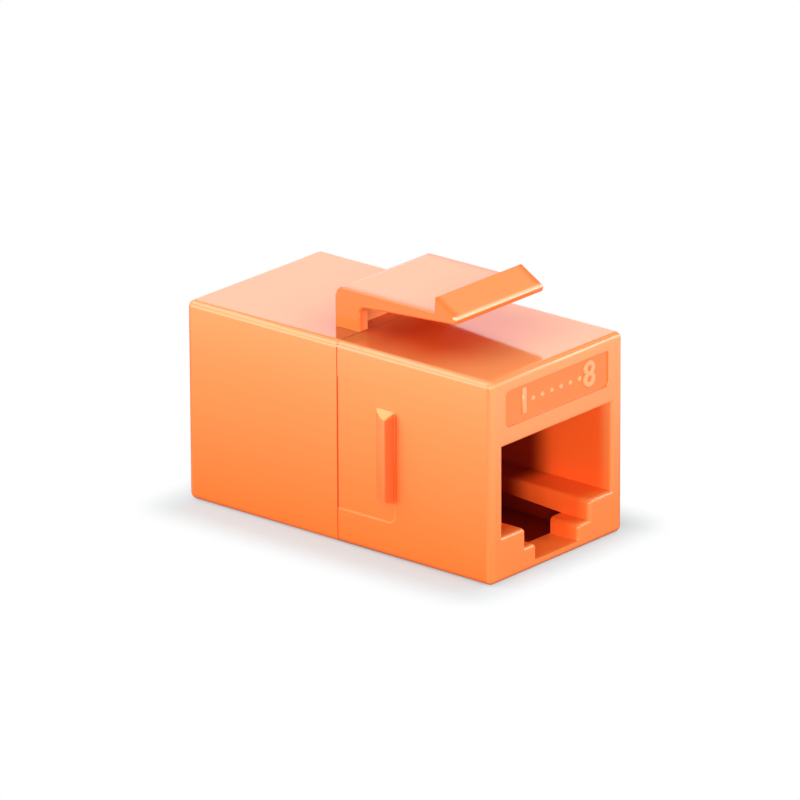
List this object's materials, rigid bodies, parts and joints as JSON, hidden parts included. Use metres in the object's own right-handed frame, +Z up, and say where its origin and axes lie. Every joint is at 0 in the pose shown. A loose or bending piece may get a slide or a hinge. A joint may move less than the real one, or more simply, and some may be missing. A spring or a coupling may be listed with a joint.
{
  "type": "inline coupler for eight-way modular plugs",
  "caption": "Block-shaped inline coupler with a stepped modular plug port at each end, a hollow-rooted panel latch on top and a panel stop rib on each side.",
  "frame": {"origin": "middle of the flat resting face, on the plane where the front and rear housings meet", "axes": "+X across the ports, +Y along the coupler from the front port to the rear port, +Z up towards the panel latch"},
  "size_m": [0.0164, 0.028, 0.019],
  "materials": {
    "housing": "polished, saturated orange, slightly translucent at thin edges",
    "carrier": "deep red-orange moulding, semi-gloss",
    "board": "green solder mask, satin",
    "contact": "gold-plated spring strip"
  },
  "bodies": {
    "root": {"front_housing": "housing", "rear_housing": "housing", "front_contact_carrier": "carrier", "rear_contact_carrier": "carrier", "circuit_board": "board", "front_contact_1": "contact", "front_contact_2": "contact", "front_contact_3": "contact", "front_contact_4": "contact", "front_contact_5": "contact", "front_contact_6": "contact", "front_contact_7": "contact", "front_contact_8": "contact", "rear_contact_1": "contact", "rear_contact_2": "contact", "rear_contact_3": "contact", "rear_contact_4": "contact", "rear_contact_5": "contact", "rear_contact_6": "contact", "rear_contact_7": "contact", "rear_contact_8": "contact"}
  },
  "joints": []
}
